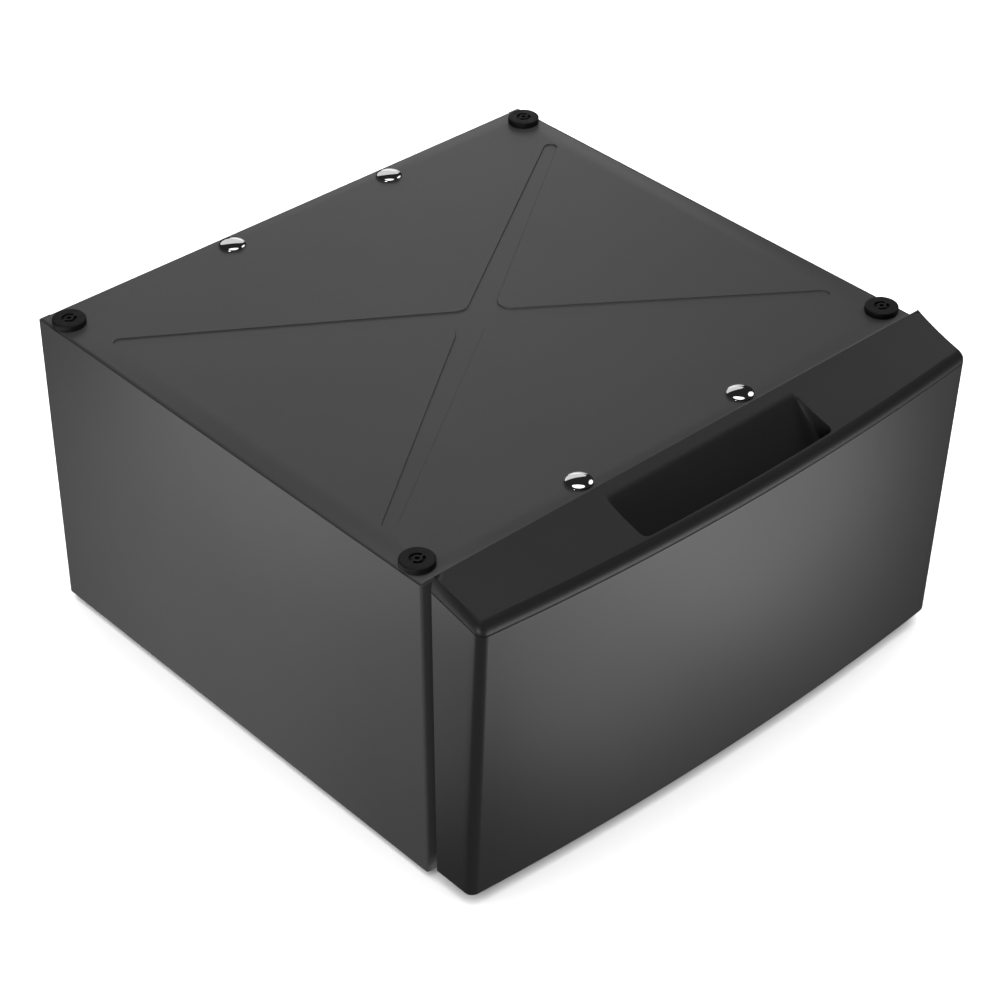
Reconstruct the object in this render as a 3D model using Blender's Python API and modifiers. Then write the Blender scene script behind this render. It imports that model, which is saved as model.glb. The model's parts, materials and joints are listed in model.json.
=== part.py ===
"""Laundry pedestal with a storage drawer: a folded steel cabinet on four levelling feet, rubber pads
and hold-down bolts on its top for the appliance that stands there, and a bowed drawer front with a
scoop handle, on full-extension ball slides.

Metres, +Z up. The front faces -Y, and the origin is on the floor under the middle of the object's box.
"""

from math import cos, pi, sin, tan

import bmesh
import bpy
from mathutils import Matrix, Vector
from mathutils.geometry import intersect_line_line_2d

# Driving dimensions.
CABINET_WIDTH = 0.686
CABINET_DEPTH = 0.616
CABINET_HEIGHT = 0.365
GROUND_CLEARANCE = 0.008
SHEET = 0.001
BEND = 0.003
GAP = 0.0003
TOP_FLANGE = 0.014
SIDE_FRONT_FLANGE = 0.020
SIDE_BACK_FLANGE = 0.015
SIDE_TOP_STEP = 0.0015
BACK_PANEL_DEPTH = 0.008

CROSS_RAIL_DEPTH = 0.0235
CROSS_RAIL_SHEET = 0.0015
BEND_CLEARANCE = 0.0018
OPENING_BOTTOM = 0.038
OPENING_TOP = 0.342
RAIL_HEIGHT = 0.060
RAIL_DEPTH = 0.0195
RAIL_SHEET = 0.0012

FRONT_WIDTH = 0.6804
FRONT_GAP = 0.0108
FRONT_REACH = 0.094
FRONT_RISE = 0.0143
FRONT_BOTTOM = 0.014
FRONT_SKIN = 0.0012
BOW_RADIUS = 3.741
LEAN = 0.0495
CORNER_RADIUS = 0.010
SKIN_EDGE_RADIUS = 0.004
CAP_WALL = 0.0025
CAP_SLOPE = 0.333
CAP_FACE_EDGE = 0.0075
CAP_SIDE_EDGE_SHARE = 0.85
SPLIT_SLOPE = 0.228
INNER_PANEL_DEPTH = 0.0112
INNER_PANEL_CLEARANCE = 0.0004

SCOOP_WIDTH = 0.264
SCOOP_BACK_INSET = 0.0142
SCOOP_RIM = 0.0115
SCOOP_FLOOR = 0.336
SCOOP_SLOPE = 1.05
SCOOP_CHAMFER = 0.004

BEAD_DEPTH = 0.0015
BEAD_DRAFT = 0.0006
BEAD_CENTRE_Y = 0.0455
BEAD_HUB_RADIUS = 0.0135
BEAD_TIP_RADIUS = 0.0072
BEAD_NOTCH_RADIUS = 0.015
BEAD_BACK_TIP = (0.3060, 0.2585)
BEAD_FRONT_TIP = (0.3035, -0.1695)

PAD_RADIUS = 0.018
PAD_HEIGHT = 0.0065
PAD_INSET_X = 0.019
PAD_INSET_FRONT = 0.0273
PAD_INSET_BACK = 0.0306
BOLT_RADIUS = 0.015
BOLT_HEIGHT = 0.005
BOLT_INSET_FRONT = 0.0195
BOLT_INSET_BACK = 0.0215
BOLT_NEAR_X = 0.101
BOLT_FAR_X = 0.124
STEM_RADIUS = 0.0042
STEM_LENGTH = 0.006
BUMPER_RADIUS = 0.006
BUMPER_X = 0.300
BUMPER_Z = 0.028

SLIDE_LENGTH = 0.500
SLIDE_CENTRE_Z = 0.175
CAGE_LENGTH = 0.250
CAGE_SETBACK = 0.125
MEMBER_SHEET = 0.0012
CAGE_SHEET = 0.0006
SLIDE_SPACE = 0.0131
LEVER_LENGTH = 0.048
LEVER_HALF_HEIGHT = 0.0035
LEVER_SETBACK = 0.115
DRAWER_BOX_LENGTH = 0.500
DRAWER_BOX_BOTTOM = 0.052
DRAWER_BOX_TOP = 0.300
DRAWER_TOP_HEM = 0.010
BOX_BEND = 0.0015
DRAWER_FLOOR_FLANGE = 0.012
BRACKET_SHEET = 0.0015
BRACKET_ON_SIDE = 0.036
BRACKET_ON_FRONT = 0.026
SCREW_HEAD_RADIUS = 0.0047
SCREW_HEAD_HEIGHT = 0.0026
SCREW_SHANK_RADIUS = 0.0024

FOOT_INSET_X = 0.035
FOOT_INSET_Y = 0.062
FOOT_PLATE = 0.0025
FOOT_PLATE_Z = 0.0152
FOOT_BRACKET_HALF_LENGTH = 0.028
FOOT_PAD_RADIUS = 0.019
STUD_RADIUS = 0.005
STUD_BOTTOM = 0.0026
STUD_TOP = 0.046
BORE_RADIUS = 0.0055
NUT_RADIUS = 0.0098
NUT_BOTTOM = 0.0096
NUT_HEIGHT = 0.005

# Places that follow from them.
HALF_WIDTH = CABINET_WIDTH / 2
TOP_Z = GROUND_CLEARANCE + CABINET_HEIGHT
DEPTH = CABINET_DEPTH + FRONT_REACH
BACK_Y = DEPTH / 2
NOSE_Y = -DEPTH / 2
NOSE_Z = TOP_Z - 0.0145
CABINET_FRONT_Y = NOSE_Y + FRONT_REACH
FRONT_BACK_Y = CABINET_FRONT_Y - FRONT_GAP
FRONT_TOP_Z = TOP_Z + FRONT_RISE
SPLIT_FRONT_Y = FRONT_BACK_Y - 0.0682
SPLIT_FRONT_Z = TOP_Z - 0.0197
INSIDE_X = HALF_WIDTH - SHEET - GAP
INSIDE_FRONT_Y = CABINET_FRONT_Y + SHEET + GAP
INSIDE_BACK_Y = BACK_Y - SHEET - GAP
RAIL_FACE_X = INSIDE_X - RAIL_DEPTH
DRAWER_SIDE_X = RAIL_FACE_X - SLIDE_SPACE - GAP
DRAWER_INSIDE_X = DRAWER_SIDE_X - SHEET - GAP
DRAWER_BOX_FRONT_Y = FRONT_BACK_Y + GAP
DRAWER_BOX_BACK_Y = DRAWER_BOX_FRONT_Y + DRAWER_BOX_LENGTH
SLIDE_FRONT_Y = CABINET_FRONT_Y + 0.006
LOWEST_SHEET_Z = GROUND_CLEARANCE + 0.0005

# How far a cutter reaches past the face that it opens.
PAST_EDGE = 0.02

# A folded sheet's profile is drawn in its own XY plane and runs along its own Z.
ALONG_Z = (0, 0, 0)
ALONG_MINUS_Y = (pi / 2, 0, 0)
ALONG_X = (pi / 2, 0, pi / 2)

# Base colour, roughness and metallic value of each finish.
PAINT = ((0.075, 0.075, 0.077), 0.45, 0.3)
SATIN_METAL = ((0.11, 0.11, 0.112), 0.32, 0.9)
CAP_PLASTIC = ((0.038, 0.038, 0.039), 0.4, 0.0)
BLACK_PLASTIC = ((0.02, 0.02, 0.02), 0.5, 0.0)
RUBBER = ((0.012, 0.012, 0.012), 0.75, 0.0)
CHROME = ((0.8, 0.8, 0.8), 0.08, 1.0)
ZINC = ((0.55, 0.56, 0.57), 0.35, 1.0)
BRIGHT_STEEL = ((0.62, 0.62, 0.63), 0.25, 1.0)


def clear_scene():
    for obj in list(bpy.data.objects):
        bpy.data.objects.remove(obj)


def new_collection(name):
    collection = bpy.data.collections.new(name)
    bpy.context.scene.collection.children.link(collection)
    return collection


def material(name, finish):
    colour, roughness, metallic = finish
    made = bpy.data.materials.new(name)
    made.use_nodes = True
    shader = made.node_tree.nodes["Principled BSDF"]
    shader.inputs["Base Color"].default_value = (*colour, 1)
    shader.inputs["Roughness"].default_value = roughness
    shader.inputs["Metallic"].default_value = metallic
    return made


def part(name, mesh, finish, location=(0, 0, 0), rotation=(0, 0, 0)):
    """An object for a mesh, with its own material, in the pedestal's collection."""
    obj = bpy.data.objects.new(name, mesh)
    obj.location = location
    obj.rotation_euler = rotation
    obj.data.materials.append(material(name, finish))
    PEDESTAL.objects.link(obj)
    return obj


def helper(obj):
    """Turns an object into a cutter or a shape to join, which isn't a piece of the pedestal."""
    for collection in list(obj.users_collection):
        collection.objects.unlink(obj)
    CUTTERS.objects.link(obj)
    obj.hide_render = True
    obj.display_type = "WIRE"
    return obj


def boolean(obj, other, operation):
    modifier = obj.modifiers.new(operation.title(), "BOOLEAN")
    modifier.operation = operation
    modifier.object = other
    modifier.solver = "EXACT"


def cut(obj, *cutters):
    for cutter in cutters:
        boolean(obj, helper(cutter), "DIFFERENCE")


def join(obj, *others):
    for other in others:
        boolean(obj, helper(other), "UNION")


def mesh_from(name, bm, smooth_angle=None):
    bmesh.ops.recalc_face_normals(bm, faces=bm.faces)
    mesh = bpy.data.meshes.new(name)
    bm.to_mesh(mesh)
    bm.free()
    if smooth_angle is not None:
        mesh.shade_smooth()
        mesh.set_sharp_from_angle(angle=smooth_angle)
    return mesh


def box(name, low, high, finish=PAINT):
    """A block between two corners."""
    low, high = Vector(low), Vector(high)
    bm = bmesh.new()
    bmesh.ops.create_cube(bm, size=1.0)
    bmesh.ops.scale(bm, vec=high - low, verts=bm.verts)
    return part(name, mesh_from(name, bm), finish, location=(low + high) / 2)


def cylinder(name, radius, length, location, rotation=(0, 0, 0), sides=16, finish=PAINT):
    """A cylinder centred on location, along its own Z."""
    bm = bmesh.new()
    bmesh.ops.create_cone(bm, cap_ends=True, segments=sides, radius1=radius, radius2=radius, depth=length)
    return part(name, mesh_from(name, bm, smooth_angle=pi / 6), finish, location, rotation)


def loft(name, rings, finish, smooth_angle=pi / 6):
    """A closed solid through rings of points, each ring with the same number of points."""
    bm = bmesh.new()
    rows = [[bm.verts.new(point) for point in ring] for ring in rings]
    count = len(rows[0])
    for low, high in zip(rows, rows[1:]):
        for i in range(count):
            j = (i + 1) % count
            bm.faces.new((low[i], low[j], high[j], high[i]))
    bm.faces.new(rows[0])
    bm.faces.new(rows[-1])
    return part(name, mesh_from(name, bm, smooth_angle), finish)


def rounded_path(corners, radius, steps=3):
    """An open path through corners, with its inner corners rounded to radius."""
    path = [Vector(corners[0])]
    for before, corner, after in zip(corners, corners[1:], corners[2:]):
        corner = Vector(corner)
        back = (Vector(before) - corner).normalized()
        ahead = (Vector(after) - corner).normalized()
        half_angle = back.angle(ahead) / 2
        centre = corner + (back + ahead).normalized() * radius / sin(half_angle)
        start = corner + back * radius / tan(half_angle) - centre
        end = corner + ahead * radius / tan(half_angle) - centre
        sweep = start.angle(end)
        for k in range(steps + 1):
            share = k / steps
            weights = sin((1 - share) * sweep) / sin(sweep), sin(share * sweep) / sin(sweep)
            path.append(centre + start * weights[0] + end * weights[1])
    path.append(Vector(corners[-1]))
    return path


def folded_sheet(name, corners, length, location, rotation, thickness=SHEET, finish=PAINT, bend=None):
    """Sheet folded along corners and extruded by length. Its thickness lies to the left of the path."""
    bm = bmesh.new()
    path = rounded_path(corners, BEND if bend is None else bend)
    near = [bm.verts.new((point.x, point.y, 0)) for point in path]
    far = [bm.verts.new((point.x, point.y, length)) for point in path]
    for i in range(len(path) - 1):
        bm.faces.new((near[i], near[i + 1], far[i + 1], far[i]))
    mesh = bpy.data.meshes.new(name)
    bm.to_mesh(mesh)
    bm.free()
    mesh.shade_smooth()
    mesh.set_sharp_from_angle(angle=pi / 4)
    obj = part(name, mesh, finish, location, rotation)
    solidify = obj.modifiers.new("Thickness", "SOLIDIFY")
    solidify.thickness = thickness
    solidify.offset = -1
    solidify.use_even_offset = True
    return obj


def pressed_pan(name, low, high, open_side, edge_radius, thickness=SHEET, finish=PAINT):
    """A box pressed from one sheet, open on one side: its edges are rounded, and the sheet lies inside."""
    low, high = Vector(low), Vector(high)
    bm = bmesh.new()
    bmesh.ops.create_cube(bm, size=1.0)
    bmesh.ops.scale(bm, vec=high - low, verts=bm.verts)
    bmesh.ops.translate(bm, vec=(low + high) / 2, verts=bm.verts)
    open_side = Vector(open_side)
    open_faces = [face for face in bm.faces if face.normal.dot(open_side) > 0.9]
    rim = {edge for face in open_faces for edge in face.edges}
    bmesh.ops.delete(bm, geom=open_faces, context="FACES_ONLY")
    bmesh.ops.bevel(
        bm,
        geom=[edge for edge in bm.edges if edge not in rim],
        offset=edge_radius,
        segments=3,
        profile=0.5,
        affect="EDGES",
    )
    obj = part(name, mesh_from(name, bm, smooth_angle=pi / 4), finish)
    solidify = obj.modifiers.new("Thickness", "SOLIDIFY")
    solidify.thickness = thickness
    solidify.offset = -1
    solidify.use_even_offset = True
    return obj


def turned(name, profile, location, finish, rotation=(0, 0, 0), steps=24):
    """A solid turned about its own Z from (radius, height) points, from the top down its outer side."""
    mesh = bpy.data.meshes.new(name)
    edges = [(i, i + 1) for i in range(len(profile) - 1)]
    if profile[0][0] > 0:
        edges.append((len(profile) - 1, 0))
    mesh.from_pydata([(radius, 0, height) for radius, height in profile], edges, [])
    obj = part(name, mesh, finish, location, rotation)
    screw = obj.modifiers.new("Turn", "SCREW")
    screw.steps = steps
    screw.render_steps = steps
    screw.use_merge_vertices = True
    screw.merge_threshold = 0.00001
    screw.use_smooth_shade = True
    return obj


def mirrored(obj, name):
    """The piece's opposite hand, on the other side of the plane X = 0, with its cutters mirrored too."""
    flip = Matrix.Scale(-1, 4, (1, 0, 0))
    copied = obj.copy()
    copied.name = name
    copied.data = obj.data.copy()
    copied.data.transform(flip)
    copied.data.flip_normals()
    copied.matrix_world = flip @ obj.matrix_basis @ flip
    for collection in obj.users_collection:
        collection.objects.link(copied)
    for modifier in copied.modifiers:
        if modifier.type == "BOOLEAN":
            modifier.object = mirrored(modifier.object, f"{modifier.object.name}_right")
    return copied


def quarter_turn(steps):
    """Angles from 0 to a right angle."""
    return [pi / 2 * k / steps for k in range(steps + 1)]


# Drawer front -------------------------------------------------------------------------------------


def front_y(x, z):
    """The drawer front's face: bowed in plan, and leaning out towards the top."""
    return NOSE_Y + x * x / (2 * BOW_RADIUS) + abs(NOSE_Z - z) * LEAN


def cap_top(y):
    return FRONT_TOP_Z + (y - FRONT_BACK_Y) * CAP_SLOPE


def split_z(y):
    """The sloping plane where the cap meets the metal skin."""
    return SPLIT_FRONT_Z + (y - SPLIT_FRONT_Y) * SPLIT_SLOPE


def front_outline(z, inset=0.0, back_y=FRONT_BACK_Y, arc_steps=4, bow_steps=14):
    """The drawer front in plan at height z, drawn in by inset at its sides and its face.

    Each point comes with a share: 0 along the sides, 1 along the face, in between round a corner.
    """
    half = FRONT_WIDTH / 2 - inset
    radius = max(CORNER_RADIUS - inset, 0.002)
    turn_x = half - radius
    turn_y = front_y(turn_x, z) + inset + radius
    corner = [
        (turn_x + radius * cos(angle), turn_y - radius * sin(angle), angle / (pi / 2))
        for angle in quarter_turn(arc_steps)
    ]
    face = []
    for k in range(1, bow_steps):
        x = turn_x * (1 - 2 * k / bow_steps)
        face.append((x, front_y(x, z) + inset, 1.0))
    right = [(half, back_y, 0.0), *corner]
    left = [(-x, y, share) for x, y, share in reversed(right)]
    return [*right, *face, *left]


def skin_rings(inset, edge_radius, bottom_z, above_split, back_y=FRONT_BACK_Y):
    """Rings up the metal skin, from its rounded bottom edge to the plane where the cap begins."""
    rings = []
    for angle in quarter_turn(3):
        z = bottom_z + edge_radius * (1 - cos(angle))
        drawn_in = inset + edge_radius * (1 - sin(angle))
        rings.append([(x, y, z) for x, y, _ in front_outline(z, drawn_in, back_y)])
    top = front_outline(SPLIT_FRONT_Z, inset, back_y)
    rings.append([(x, y, split_z(y) + above_split) for x, y, _ in top])
    return rings


def build_drawer_front_panel():
    """The bowed metal skin, open at its back and its top."""
    skin = loft("drawer_front_panel", skin_rings(0, SKIN_EDGE_RADIUS, FRONT_BOTTOM, 0), SATIN_METAL)
    inner_edge, inner_bottom = SKIN_EDGE_RADIUS - FRONT_SKIN, FRONT_BOTTOM + FRONT_SKIN
    hollow = skin_rings(FRONT_SKIN, inner_edge, inner_bottom, PAST_EDGE, FRONT_BACK_Y + PAST_EDGE)
    cut(skin, loft("front_panel_hollow", hollow, SATIN_METAL))


def cap_rings(inset, side_edge, face_edge, below_split, under_top, back_y):
    """Rings up the cap, whose top edges are rounded at the sides and along the face."""
    base = front_outline(SPLIT_FRONT_Z, inset, back_y)
    rings = [[(x, y, split_z(y) + GAP - below_split) for x, y, _ in base]]
    for angle in quarter_turn(4):
        ring = []
        drawn_in = inset + face_edge * (1 - cos(angle))
        for x, y, share in front_outline(NOSE_Z, drawn_in, back_y):
            side_drop = side_edge * (cap_top(y) - split_z(y))
            drop = side_drop + (face_edge - side_drop) * share
            ring.append((x, y, cap_top(y) - under_top - drop * (1 - sin(angle))))
        rings.append(ring)
    return rings


def scoop_rings(grow, open_top):
    """Sections of the handle scoop across the drawer front. Its back slopes down to a floor."""
    back_y = FRONT_BACK_Y - SCOOP_BACK_INSET
    slope_end_y = back_y - (cap_top(back_y) - SCOOP_FLOOR) / SCOOP_SLOPE
    half = SCOOP_WIDTH / 2 + grow
    floor_z = SCOOP_FLOOR - grow
    lip = PAST_EDGE if open_top else -CAP_WALL / 2
    bow_steps = 6
    rings = []
    for k in range(bow_steps + 1):
        x = half * (2 * k / bow_steps - 1)
        wall_y = front_y(x, NOSE_Z) + SCOOP_RIM - grow
        rings.append(
            [
                (x, back_y + grow, cap_top(back_y + grow) + lip),
                (x, back_y + grow, cap_top(back_y) - 2 * grow),
                (x, slope_end_y + grow, floor_z),
                (x, wall_y + SCOOP_CHAMFER, floor_z),
                (x, wall_y, floor_z + SCOOP_CHAMFER),
                (x, wall_y, cap_top(wall_y) + lip),
            ]
        )
    return rings


def build_drawer_front_cap():
    """The moulded top of the drawer front, open below, with a scoop for the hand."""
    outer = cap_rings(0, CAP_SIDE_EDGE_SHARE, CAP_FACE_EDGE, 0, 0, FRONT_BACK_Y)
    cap = loft("drawer_front_cap", outer, CAP_PLASTIC)
    inner_share, inner_edge = CAP_SIDE_EDGE_SHARE - 0.05, CAP_FACE_EDGE - CAP_WALL / 2
    hollow = cap_rings(CAP_WALL, inner_share, inner_edge, PAST_EDGE, CAP_WALL, FRONT_BACK_Y - CAP_WALL)
    cut(cap, loft("cap_hollow", hollow, CAP_PLASTIC))
    join(cap, loft("scoop_outside", scoop_rings(CAP_WALL, open_top=False), CAP_PLASTIC))
    cut(cap, loft("scoop_inside", scoop_rings(0, open_top=True), CAP_PLASTIC))


def build_drawer_front_inner_panel():
    """The pan that closes the back of the drawer front."""
    half = FRONT_WIDTH / 2 - FRONT_SKIN - INNER_PANEL_CLEARANCE
    low_y, low_z = FRONT_BACK_Y - INNER_PANEL_DEPTH, FRONT_BOTTOM + FRONT_SKIN + INNER_PANEL_CLEARANCE
    top_z = split_z(low_y) - 2 * GAP
    low, high = (-half, low_y, low_z), (half, FRONT_BACK_Y, top_z)
    return pressed_pan("drawer_front_inner_panel", low, high, (0, -1, 0), SKIN_EDGE_RADIUS)


# Cabinet ------------------------------------------------------------------------------------------


def bead_outline(grow, tip_steps=6):
    """The pressed cross in plan, grown outwards: four tapered arms with round tips and round notches."""
    centre = Vector((0, BEAD_CENTRE_Y))
    (back_x, back_y), (front_x, front_y) = BEAD_BACK_TIP, BEAD_FRONT_TIP
    tips = [(back_x, back_y), (-back_x, back_y), (-front_x, front_y), (front_x, front_y)]
    arms = []
    for tip in tips:
        along = (Vector(tip) - centre).normalized()
        left = Vector((-along.y, along.x)) * (BEAD_TIP_RADIUS + grow)
        ahead = along * (BEAD_TIP_RADIUS + grow)
        hub_left = Vector((-along.y, along.x)) * (BEAD_HUB_RADIUS + grow)
        angles = [pi * k / tip_steps - pi / 2 for k in range(tip_steps + 1)]
        arc = [Vector(tip) + ahead * cos(angle) + left * sin(angle) for angle in angles]
        arms.append((centre - hub_left, arc, centre + hub_left))
    outline = []
    for (_, arc, left_hub), (right_hub, next_arc, _) in zip(arms, arms[1:] + arms[:1]):
        notch = intersect_line_line_2d(arc[-1], left_hub, right_hub, next_arc[0])
        outline += arc[:-1]
        outline += rounded_path([arc[-1], notch, next_arc[0]], BEAD_NOTCH_RADIUS - grow)[:-1]
    return outline


def bead(name, levels):
    """The cross as a closed solid, through (height, growth) levels."""
    rings = [[(point.x, point.y, z) for point in bead_outline(grow)] for z, grow in levels]
    return loft(name, rings, PAINT)


def bolt_places():
    front, back = CABINET_FRONT_Y + BOLT_INSET_FRONT, BACK_Y - BOLT_INSET_BACK
    return {
        "front_left": (-BOLT_FAR_X, front),
        "front_right": (BOLT_NEAR_X, front),
        "back_left": (-BOLT_NEAR_X, back),
        "back_right": (BOLT_FAR_X, back),
    }


def corners_of(x, front, back):
    return {
        "front_left": (-x, front),
        "front_right": (x, front),
        "back_left": (-x, back),
        "back_right": (x, back),
    }


def pad_places():
    front, back = CABINET_FRONT_Y + PAD_INSET_FRONT, BACK_Y - PAD_INSET_BACK
    return corners_of(HALF_WIDTH - PAD_INSET_X, front, back)


def build_top_panel():
    """A pan with a pressed cross, and holes for the pads' and the bolts' stems."""
    low, high = (-INSIDE_X, INSIDE_FRONT_Y, TOP_Z - TOP_FLANGE), (INSIDE_X, INSIDE_BACK_Y, TOP_Z)
    panel = pressed_pan("top_panel", low, high, (0, 0, -1), BEND)
    floor_z, mid_sheet_z = TOP_Z - BEAD_DEPTH, TOP_Z - SHEET / 2
    join(panel, bead("bead_underside", [(floor_z - SHEET, SHEET), (mid_sheet_z, SHEET + BEAD_DRAFT)]))
    walls = [(floor_z, 0), (TOP_Z, BEAD_DRAFT), (TOP_Z + PAST_EDGE, BEAD_DRAFT)]
    cut(panel, bead("bead_groove", walls))
    for i, (x, y) in enumerate([*pad_places().values(), *bolt_places().values()]):
        cut(panel, cylinder(f"top_hole_{i}", STEM_RADIUS + 0.0005, PAST_EDGE, (x, y, TOP_Z), sides=12))


def build_side_panels():
    """The side walls, folded inwards at the front and the back."""
    corners = [
        (-HALF_WIDTH + SIDE_BACK_FLANGE, BACK_Y),
        (-HALF_WIDTH, BACK_Y),
        (-HALF_WIDTH, CABINET_FRONT_Y),
        (-HALF_WIDTH + SIDE_FRONT_FLANGE, CABINET_FRONT_Y),
    ]
    height = CABINET_HEIGHT - SIDE_TOP_STEP
    left = folded_sheet("left_side_panel", corners, height, (0, 0, GROUND_CLEARANCE), ALONG_Z)
    mirrored(left, "right_side_panel")


def build_back_panel():
    half = INSIDE_X - GAP
    low = (-half, INSIDE_BACK_Y - BACK_PANEL_DEPTH, LOWEST_SHEET_Z)
    high = (half, INSIDE_BACK_Y, TOP_Z - TOP_FLANGE - GAP)
    pressed_pan("back_panel", low, high, (0, -1, 0), BEND)


def build_cross_rails():
    """Channels across the cabinet: two at the front, round the drawer's opening, and one at the back."""
    back_web_y = INSIDE_BACK_Y - BACK_PANEL_DEPTH - GAP
    front_open_y, back_open_y = INSIDE_FRONT_Y + CROSS_RAIL_DEPTH, back_web_y - CROSS_RAIL_DEPTH
    upper_top_z = TOP_Z - TOP_FLANGE - GAP
    channels = {
        "front_lower_rail": (INSIDE_FRONT_Y, front_open_y, LOWEST_SHEET_Z, OPENING_BOTTOM),
        "front_upper_rail": (INSIDE_FRONT_Y, front_open_y, OPENING_TOP, upper_top_z),
        "back_lower_rail": (back_web_y, back_open_y, LOWEST_SHEET_Z, OPENING_BOTTOM),
    }
    half = INSIDE_X - BEND_CLEARANCE
    for name, (web_y, open_y, bottom, top) in channels.items():
        corners = [(open_y, top), (web_y, top), (web_y, bottom), (open_y, bottom)]
        if open_y < web_y:
            corners.reverse()
        folded_sheet(name, corners, 2 * half, (-half, 0, 0), ALONG_X, CROSS_RAIL_SHEET, ZINC)


def build_slide_rails():
    """A channel on each side wall, from front to back, which carries the slide."""
    low_z, high_z = SLIDE_CENTRE_Z - RAIL_HEIGHT / 2, SLIDE_CENTRE_Z + RAIL_HEIGHT / 2
    corners = [
        (-INSIDE_X, low_z),
        (-RAIL_FACE_X, low_z),
        (-RAIL_FACE_X, high_z),
        (-INSIDE_X, high_z),
    ]
    front, back = INSIDE_FRONT_Y + BEND_CLEARANCE, INSIDE_BACK_Y - BACK_PANEL_DEPTH - 0.001
    length, place = back - front, (0, back, 0)
    left = folded_sheet("left_slide_rail", corners, length, place, ALONG_MINUS_Y, RAIL_SHEET, ZINC)
    mirrored(left, "right_slide_rail")


def build_top_pads():
    """Rubber pads under the appliance's feet, with a moulded ring and dot."""
    top = PAD_HEIGHT + GAP
    groove = top - 0.001
    profile = [
        (0, groove),
        (0.0028, groove),
        (0.0029, top),
        (0.0053, top),
        (0.0054, groove),
        (0.0079, groove),
        (0.0080, top),
        (PAD_RADIUS - 0.0015, top),
        (PAD_RADIUS - 0.0004, top - 0.0004),
        (PAD_RADIUS, top - 0.0015),
        (PAD_RADIUS, GAP),
        (STEM_RADIUS, GAP),
        (STEM_RADIUS, -STEM_LENGTH),
        (0, -STEM_LENGTH),
    ]
    for place, (x, y) in pad_places().items():
        turned(f"{place}_top_pad", profile, (x, y, TOP_Z), RUBBER, steps=28)


def build_hold_down_bolts():
    """Domed bolts that stop the appliance's base from walking."""
    rim = 0.0008
    dome = BOLT_HEIGHT - rim
    profile = [(BOLT_RADIUS * sin(turn), GAP + rim + dome * cos(turn)) for turn in quarter_turn(5)]
    profile += [(BOLT_RADIUS, GAP), (STEM_RADIUS, GAP), (STEM_RADIUS, -STEM_LENGTH), (0, -STEM_LENGTH)]
    for place, (x, y) in bolt_places().items():
        turned(f"{place}_hold_down_bolt", profile, (x, y, TOP_Z), CHROME, steps=24)


def build_drawer_bumpers():
    """Rubber stops on the lower rail, which the closed drawer front rests against."""
    front, back = FRONT_BACK_Y + GAP, INSIDE_FRONT_Y - GAP
    for side, sign in (("left", -1), ("right", 1)):
        centre = (sign * BUMPER_X, (front + back) / 2, BUMPER_Z)
        cylinder(f"{side}_drawer_bumper", BUMPER_RADIUS, back - front, centre, ALONG_MINUS_Y, finish=RUBBER)


# Feet ---------------------------------------------------------------------------------------------


def foot_places():
    front, back = CABINET_FRONT_Y + FOOT_INSET_Y, BACK_Y - FOOT_INSET_Y
    return corners_of(HALF_WIDTH - FOOT_INSET_X, front, back)


def build_foot_brackets():
    """A thick angle at each bottom corner, with a weld nut for the levelling foot."""
    wall_x = -INSIDE_X + GAP
    corners = [(wall_x, 0.060), (wall_x, FOOT_PLATE_Z), (wall_x + 0.066, FOOT_PLATE_Z)]
    length = 2 * FOOT_BRACKET_HALF_LENGTH
    weld_nut_height, sunk = 0.009, 0.001
    for end in ("front", "back"):
        x, y = foot_places()[f"{end}_left"]
        name, place = f"{end}_left_foot_bracket", (0, y + FOOT_BRACKET_HALF_LENGTH, 0)
        bracket = folded_sheet(name, corners, length, place, ALONG_MINUS_Y, FOOT_PLATE, ZINC)
        nut_place = (x, y, FOOT_PLATE_Z + FOOT_PLATE - sunk + weld_nut_height / 2)
        join(bracket, cylinder(f"{end}_weld_nut", NUT_RADIUS, weld_nut_height, nut_place, sides=6))
        cut(bracket, cylinder(f"{end}_foot_bore", BORE_RADIUS, 4 * weld_nut_height, nut_place))
        mirrored(bracket, f"{end}_right_foot_bracket")


def build_feet():
    """Levelling feet: a pad that swivels on a threaded stud, and a nut that locks the stud."""
    socket_radius, seat_z, hub_z = BORE_RADIUS + 0.0001, STUD_BOTTOM - 0.0004, 0.0082
    pad_profile = [
        (socket_radius, hub_z),
        (0.009, hub_z),
        (0.012, 0.006),
        (FOOT_PAD_RADIUS - 0.0005, 0.0045),
        (FOOT_PAD_RADIUS, 0.001),
        (FOOT_PAD_RADIUS - 0.001, 0),
        (0.004, 0),
        (0.004, seat_z),
        (socket_radius, seat_z),
    ]
    stud_length, stud_centre_z = STUD_TOP - STUD_BOTTOM, (STUD_TOP + STUD_BOTTOM) / 2
    slot_half, slot_depth = 0.0008, 0.002
    for place, (x, y) in foot_places().items():
        turned(f"{place}_foot_pad", pad_profile, (x, y, 0), BLACK_PLASTIC)
        name, centre = f"{place}_foot_stud", (x, y, stud_centre_z)
        stud = cylinder(name, STUD_RADIUS, stud_length, centre, finish=BRIGHT_STEEL)
        slot_low = (x - 2 * STUD_RADIUS, y - slot_half, STUD_TOP - slot_depth)
        slot_high = (x + 2 * STUD_RADIUS, y + slot_half, STUD_TOP + PAST_EDGE)
        cut(stud, box(f"{place}_stud_slot", slot_low, slot_high))
        name, centre = f"{place}_lock_nut", (x, y, NUT_BOTTOM + NUT_HEIGHT / 2)
        nut = cylinder(name, NUT_RADIUS, NUT_HEIGHT, centre, sides=6, finish=ZINC)
        cut(nut, cylinder(f"{place}_nut_bore", BORE_RADIUS, 4 * NUT_HEIGHT, centre))


# Slides -------------------------------------------------------------------------------------------


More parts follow.
